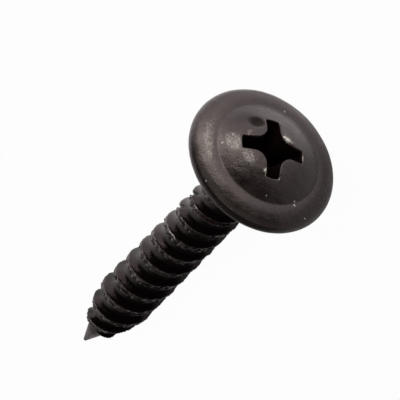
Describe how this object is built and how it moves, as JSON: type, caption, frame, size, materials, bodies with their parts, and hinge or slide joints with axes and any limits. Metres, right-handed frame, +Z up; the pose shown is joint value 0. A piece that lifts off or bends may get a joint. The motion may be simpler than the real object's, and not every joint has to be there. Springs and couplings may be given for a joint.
{
  "type": "wafer head self-tapping screw",
  "caption": "Self-tapping screw with a low domed wafer head, a cross recess, a coarse right-hand thread and a sharp point, lying on its side.",
  "frame": {"origin": "under the middle of the screw's bounding box, on the surface that it lies on", "axes": "+X towards the head, +Z up; the screw's axis lies in the XZ plane and rises 9.3 degrees towards the head"},
  "size_m": [0.0282, 0.011, 0.0108],
  "materials": {
    "black_oxide": "semi-gloss black oxide over steel, worn a little on the edges"
  },
  "bodies": {
    "root": {"screw": "black_oxide"}
  },
  "joints": []
}
